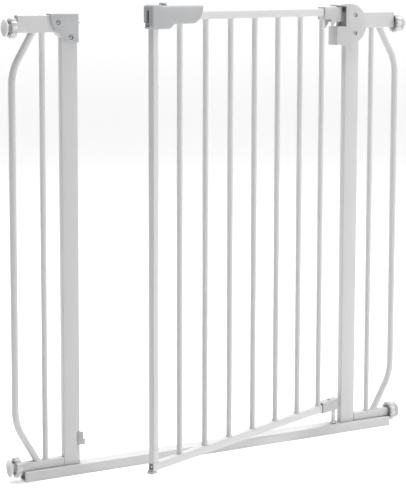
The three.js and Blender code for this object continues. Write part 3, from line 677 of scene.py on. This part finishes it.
# handle
handleLook = {
    "rim": 3.4 * mm,
    "seam": 0.3 * mm,
    "corner": 7 * mm,
    "endRadius": 26 * mm,
    "deepDrop": 36 * mm,  # top to underside at the free end
    "shallowDrop": 28.7 * mm,
    "stepStart": 41 * mm,
    "stepLength": 15 * mm,
    "bumpRise": 2 * mm,
    "bumpLength": 26 * mm,
    "slotWidth": 5.4 * mm,
    "slotDepth": 5.3 * mm,
    "slotTopDrop": 6.7 * mm,
    "channelHeight": 6.6 * mm,
    "curveSteps": 10,
}
low, high = closedBox("handle_front")
top = high.z - handleLook["bumpRise"]
deepZ = top - handleLook["deepDrop"]
shallowZ = top - handleLook["shallowDrop"]
corner = handleLook["corner"]
stepX = low.x + handleLook["stepStart"]
stepEnd = stepX + handleLook["stepLength"]
ease = [i / handleLook["curveSteps"] for i in range(1, handleLook["curveSteps"] + 1)]
underside = [(stepX + (stepEnd - stepX) * t, deepZ + (shallowZ - deepZ) * (3 * t * t - 2 * t * t * t))
             for t in ease]
er = handleLook["endRadius"]
bumpEnd = low.x + handleLook["bumpLength"]
outer = (arcPoints(low.x + corner, deepZ + corner, corner, corner, 180, 270, 8) + [(stepX, deepZ)] + underside
         + arcPoints(high.x - er, shallowZ + er, er, er, -90, 0, 20) + [(high.x, top), (bumpEnd, top)]
         + [(bumpEnd - corner / 2, high.z - 0.5 * mm), (bumpEnd - corner, high.z)]
         + arcPoints(low.x + corner * 0.7, high.z - corner * 0.7, corner * 0.7, corner * 0.7, 90, 180, 8))
halfDepth = max(abs(low.y), abs(high.y))
pegLow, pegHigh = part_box("strike_peg")
channelLow = (pegLow.z + pegHigh.z) / 2 - doorPose["lift"] - handleLook["channelHeight"] / 2
buttonLow, buttonHigh = closedBox("lock_button")


def handleRooms():
    half = handleLook["slotWidth"] / 2
    slotEnd = low.x + handleLook["slotDepth"]
    slot = block(Vector((low.x - mm, -half, channelLow)),
                 Vector((slotEnd, half, top - handleLook["slotTopDrop"])))
    roundEdges(slot, edgesAlong(slot, 0), 0.8 * mm, 2)
    channel = block(Vector((low.x - mm, 0, channelLow)),
                    Vector((slotEnd, halfDepth + mm, channelLow + handleLook["channelHeight"])))
    around = Vector((0.5 * mm, 0.5 * mm, 0))
    well = block(buttonLow - around - Vector((0, 0, 3.4 * mm)), buttonHigh + around + Vector((0, 0, 5 * mm)))
    roundEdges(well, edgesAlong(well, 2), (buttonHigh.y - buttonLow.y) * 0.48, 6)
    rooms = [slot, channel, well]
    for i in (1, 2):
        sLow, sHigh = closedBox("handle_screw_%d" % i)
        centre = (sLow + sHigh) / 2 + Vector((0, 0, screwLook["handleRise"][i - 1]))
        rooms.append(roundCutter(centre.x, centre.z, halfDepth - 2.6 * mm, halfDepth + mm, 8.2 * mm))
    return rooms


bm = plateFrom(outer, -halfDepth, -halfSplit, handleLook["rim"], handleLook["seam"])
piece(cutWith(bm, handleRooms()[:3]), "handleFront", handlePlastic, "door", ["handle_front"],
      onDoor=True)
bm = plateFrom(outer, halfSplit, halfDepth, handleLook["rim"], handleLook["seam"])
piece(cutWith(bm, handleRooms()), "handleRear", handlePlastic, "door", ["handle_rear"],
      onDoor=True)

# a near-black sheet at the slot's end: painted shade where the deep slot is dark
half = handleLook["slotWidth"] / 2 - 0.1 * mm
slotEnd = low.x + handleLook["slotDepth"]
bm = block(Vector((slotEnd - 0.05 * mm, -half, channelLow + 0.2 * mm)),
           Vector((slotEnd + 0.2 * mm, half, top - handleLook["slotTopDrop"] - 0.2 * mm)))
roundEdges(bm, edgesAlong(bm, 0), 0.7 * mm, 2)
piece(bm, "slotPaintedShade", slotShadeFinish, "door", [], onDoor=True)

buttonLook = {"rim": 2.4 * mm, "ribs": 4, "ribPitch": 2.2 * mm, "ribWidth": 0.8 * mm,
              "ribDepth": 0.45 * mm}
bm = block(buttonLow, buttonHigh)
roundEdges(bm, edgesAlong(bm, 2), (buttonHigh.y - buttonLow.y) * 0.46, 6)
topEdges = [e for e in bm.edges if all(v.co.z > buttonHigh.z - 1e-6 for v in e.verts)]
roundEdges(bm, topEdges, buttonLook["rim"], 3)
grooves = []
middle = (buttonLow + buttonHigh) / 2
for i in range(buttonLook["ribs"]):
    x = middle.x + (i - (buttonLook["ribs"] - 1) / 2) * buttonLook["ribPitch"]
    reach = buttonLook["ribWidth"] / 2
    grooves.append(block(Vector((x - reach, buttonLow.y - mm, buttonHigh.z - buttonLook["ribDepth"])),
                         Vector((x + reach, buttonHigh.y + mm, buttonHigh.z + mm))))
piece(cutWith(bm, grooves), "lockButton", darkPlastic, "lock_button", ["lock_button"],
      onDoor=True)
print("handle done")

# wall spindles: hand wheels, threaded bolts and pads
wheelSizes = {
    "lobes": 12,
    "lobeDepth": 2.4 * mm,
    "rim": 0.8 * mm,
    "dishRim": 2.6 * mm,
    "backDish": 1.2 * mm,
    "core": 0.4 * mm,  # thickness of the near-black disc of painted shade in each dish
    "dishDepth": 7.0 * mm,
    "spokes": 6,
    "spokeWidth": 1.8 * mm,
    "hub": 6.8 * mm,  # radius
    "bore": 4.0 * mm,
}


def sinkDish(bm, up, depth):
    # hollows one face of the wheel inside its rim
    face = max((f for f in bm.faces if f.normal.z * up > 0.99), key=lambda f: f.calc_area())
    bmesh.ops.inset_region(bm, faces=[face], thickness=wheelSizes["dishRim"], use_even_offset=True)
    pulled = bmesh.ops.extrude_face_region(bm, geom=[face])
    bmesh.ops.translate(bm, vec=(0, 0, -up * depth),
                        verts=[v for v in pulled["geom"] if isinstance(v, bmesh.types.BMVert)])
    if face.is_valid:
        bmesh.ops.delete(bm, geom=[face], context="FACES_ONLY")


def wheelShape(sign, low, high):
    # modelled along Z from the inner face outwards, then laid along X
    r = (high.z - low.z) / 2
    thick = high.x - low.x
    bm = bmesh.new()
    bmesh.ops.create_circle(bm, cap_ends=True, radius=r, segments=wheelSizes["lobes"] * 8)
    for v in bm.verts:
        turn = math.atan2(v.co.y, v.co.x)
        v.co *= 1 - wheelSizes["lobeDepth"] / r * (1 - math.cos(wheelSizes["lobes"] * turn)) / 2
    face = bm.faces[:][0]
    pulled = bmesh.ops.extrude_face_region(bm, geom=[face])
    fresh = [v for v in pulled["geom"] if isinstance(v, bmesh.types.BMVert)]
    bmesh.ops.translate(bm, vec=(0, 0, thick), verts=fresh)
    bmesh.ops.recalc_face_normals(bm, faces=bm.faces)
    rims = [e for e in bm.edges if abs(e.verts[0].co.z - e.verts[1].co.z) < 1e-7]
    roundEdges(bm, rims, wheelSizes["rim"], 3)
    sinkDish(bm, 1, wheelSizes["dishDepth"])
    sinkDish(bm, -1, wheelSizes["backDish"])
    # hub and spokes stand in the dish
    floor = thick - wheelSizes["dishDepth"]
    bore, hubSide = wheelSizes["bore"], wheelSizes["hub"]
    hub = bmesh.new()
    turnedProfile(hub, [(bore, floor - mm), (hubSide, floor - mm), (hubSide, thick - 0.6 * mm),
                        (hubSide - 0.6 * mm, thick), (bore, thick), (bore, floor - mm)],
                  Vector((0, 0, 0)), Vector((0, 0, 1)), 28)
    joinInto(bm, hub)
    for i in range(wheelSizes["spokes"]):
        spoke = block(Vector((hubSide - 0.4 * mm, -wheelSizes["spokeWidth"] / 2, floor - mm)),
                      Vector((r - wheelSizes["dishRim"] - 0.8 * mm, wheelSizes["spokeWidth"] / 2,
                              thick - 1.2 * mm)))
        roundEdges(spoke, edgesAlong(spoke, 0), 0.4 * mm, 2)
        bmesh.ops.rotate(spoke, verts=spoke.verts, cent=(0, 0, 0),
                         matrix=Matrix.Rotation(2 * math.pi * i / wheelSizes["spokes"], 3, "Z"))
        joinInto(bm, spoke)
    bmesh.ops.rotate(bm, verts=bm.verts, cent=(0, 0, 0), matrix=Matrix.Rotation(math.pi / 2 * sign, 3, "Y"))
    inner = low.x if sign > 0 else high.x
    bmesh.ops.translate(bm, vec=(inner, 0, (low.z + high.z) / 2), verts=bm.verts)
    return bm


def paintedDishShade(sign, low, high):
    # near-black discs over the floors of both dishes: painted shade for the hollows
    r = (high.z - low.z) / 2 - wheelSizes["dishRim"] - wheelSizes["lobeDepth"] - 0.3 * mm
    inner = low.x if sign > 0 else high.x
    centre = Vector((inner, 0, (low.z + high.z) / 2))
    floor = high.x - low.x - wheelSizes["dishDepth"]
    bm = bmesh.new()
    for start, end in ((wheelSizes["backDish"] - wheelSizes["core"], wheelSizes["backDish"] + 0.1 * mm),
                       (floor - 0.1 * mm, floor + wheelSizes["core"])):
        disc = bmesh.new()
        turnedProfile(disc, [(wheelSizes["bore"], start), (r, start), (r, end), (wheelSizes["bore"], end),
                             (wheelSizes["bore"], start)], centre, Vector((sign, 0, 0)), 40)
        joinInto(bm, disc)
    return bm


def padShape(sign, low, high):
    r = (high.z - low.z) / 2
    long = high.x - low.x
    neck = 6 * mm
    bm = bmesh.new()
    profile = [(0, 0), (neck - 0.5 * mm, 0), (neck, 0.5 * mm), (neck, 1.6 * mm), (neck + 1.5 * mm, 2.4 * mm),
               (r - 2 * mm, long - 2.6 * mm), (r - 0.5 * mm, long - 1.9 * mm), (r, long - 1.3 * mm),
               (r, long - 0.6 * mm), (r - 0.6 * mm, long), (r - 1.6 * mm, long),
               (r - 2.4 * mm, long - 0.7 * mm), (neck, long - 2.8 * mm), (0, long - 3 * mm)]
    inner = low.x if sign > 0 else high.x
    turnedProfile(bm, profile, Vector((inner, 0, (low.z + high.z) / 2)), Vector((sign, 0, 0)), 40)
    return bm


boltLook = {"pitch": 2 * mm, "threadDepth": 0.55 * mm, "steps": 24}


def boltShape(sign, low, high):
    r = (high.z - low.z) / 2
    long = high.x - low.x
    inner = low.x if sign > 0 else high.x
    turns = int(long / boltLook["pitch"]) - 1
    profile = [(0, 0), (r - boltLook["threadDepth"], 0)]
    for i in range(turns):
        start = boltLook["pitch"] * (i + 0.5)
        profile += [(r, start + boltLook["pitch"] * 0.4), (r, start + boltLook["pitch"] * 0.55),
                    (r - boltLook["threadDepth"], start + boltLook["pitch"] * 0.95)]
    profile += [(r - boltLook["threadDepth"], long), (0, long)]
    bm = bmesh.new()
    turnedProfile(bm, profile, Vector((inner, 0, (low.z + high.z) / 2)), Vector((sign, 0, 0)),
                  boltLook["steps"])
    return bm


for side, sign in (("left", -1), ("right", 1)):
    for level in ("top", "low"):
        start = side + "_" + level
        title = side + level.capitalize()
        low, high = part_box(start + "_wheel")
        piece(wheelShape(sign, low, high), title + "Wheel", wheelPlastic, start + "_wheel",
              [start + "_wheel"])
        # the dark discs are painted shade in the wheel's dishes
        piece(paintedDishShade(sign, low, high), title + "PaintedDishShade", darkPlastic, start + "_wheel",
              [])
        low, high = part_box(start + "_pad")
        piece(padShape(sign, low, high), title + "Pad", padRubber, start + "_spindle",
              [start + "_pad"])
        low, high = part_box(start + "_bolt")
        piece(boltShape(sign, low, high), title + "Bolt", zinc, start + "_spindle",
              [start + "_bolt"], crease=20)
print("wall spindles done")

# floor, light and camera
studio = {
    "floorSize": 400,
    "floorColour": (0.9, 0.9, 0.9),
    "floorGlow": 0.29,
    "floorRoughness": 0.12,
    "back": 0.9,  # strength of the surroundings behind, in front, and to the left
    "front": 0.16,
    "left": 0.04,
    "keyPower": 62,
    "topPower": 130,
}

bm = bmesh.new()
bmesh.ops.create_grid(bm, x_segments=1, y_segments=1, size=studio["floorSize"] / 2)
mesh = bpy.data.meshes.new("studioFloor")
bm.to_mesh(mesh)
bm.free()
floor = bpy.data.objects.new("studioFloor", mesh)
bpy.context.scene.collection.objects.link(floor)
floorFinish, tree, shader, place = startMaterial("studioFloor", studio["floorColour"],
                                                 studio["floorRoughness"])
shader.inputs["Emission Color"].default_value = (1, 1, 1, 1)
shader.inputs["Emission Strength"].default_value = studio["floorGlow"]
shader.inputs["Specular IOR Level"].default_value = 0.06
floor.data.materials.append(floorFinish)

world = bpy.data.worlds.new("studioLight")
bpy.context.scene.world = world
world.use_nodes = True
tree = world.node_tree
surround = tree.nodes["Background"]
where = tree.nodes.new("ShaderNodeTexCoord")
parts = tree.nodes.new("ShaderNodeSeparateXYZ")
tree.links.new(where.outputs["Generated"], parts.inputs[0])
frontBack = tree.nodes.new("ShaderNodeMapRange")
frontBack.inputs["From Min"].default_value = -0.6
frontBack.inputs["From Max"].default_value = 0.6
frontBack.inputs["To Min"].default_value = studio["front"]
frontBack.inputs["To Max"].default_value = studio["back"]
frontBack.interpolation_type = "SMOOTHSTEP"
tree.links.new(parts.outputs["Y"], frontBack.inputs["Value"])
leftSide = tree.nodes.new("ShaderNodeMapRange")
leftSide.inputs["From Min"].default_value = -0.9
leftSide.inputs["From Max"].default_value = -0.1
leftSide.inputs["To Min"].default_value = studio["left"]
leftSide.inputs["To Max"].default_value = 1.0
leftSide.interpolation_type = "SMOOTHSTEP"
tree.links.new(parts.outputs["X"], leftSide.inputs["Value"])
both = tree.nodes.new("ShaderNodeMath")
both.operation = "MULTIPLY"
tree.links.new(frontBack.outputs["Result"], both.inputs[0])
tree.links.new(leftSide.outputs["Result"], both.inputs[1])
tree.links.new(both.outputs["Value"], surround.inputs["Strength"])
surround.inputs["Color"].default_value = (1, 1, 1, 1)


def softLight(name, place, aim, size, power):
    data = bpy.data.lights.new(name, "AREA")
    data.shape = "DISK"
    data.size = size
    data.energy = power
    light = bpy.data.objects.new(name, data)
    bpy.context.scene.collection.objects.link(light)
    light.location = place
    light.rotation_euler = (Vector(aim) - Vector(place)).to_track_quat("-Z", "Y").to_euler()
    return light


softLight("keyLight", (2.9, -1.9, 2.0), (0, 0, 0.5), 1.4, studio["keyPower"])
softLight("topLight", (0, 0.2, 3.2), (0, 0, 0), 3.0, studio["topPower"])

cameraLook = {
    "place": (-1.2986, -2.3536, 0.8176),
    "turn": 28.44,  # degrees from +Y towards +X
    "down": 6.48,
    "roll": 0.14,
    "lens": 113.93,
    "shiftY": -0.1822,
}
lens = bpy.data.cameras.new("camera")
lens.lens = cameraLook["lens"]
lens.sensor_width = 36
lens.shift_y = cameraLook["shiftY"]
lens.clip_end = 600
camera = bpy.data.objects.new("camera", lens)
bpy.context.scene.collection.objects.link(camera)
turn = math.radians(cameraLook["turn"])
down = math.radians(cameraLook["down"])
ahead = Vector((math.sin(turn) * math.cos(down), math.cos(turn) * math.cos(down), -math.sin(down)))
camera.location = cameraLook["place"]
roll = Matrix.Rotation(math.radians(cameraLook["roll"]), 3, "Z")
facing = ahead.to_track_quat("-Z", "Y").to_matrix() @ roll
camera.rotation_euler = facing.to_euler()
bpy.context.scene.camera = camera
bpy.context.scene.view_settings.view_transform = "Standard"
print("studio and camera ready")
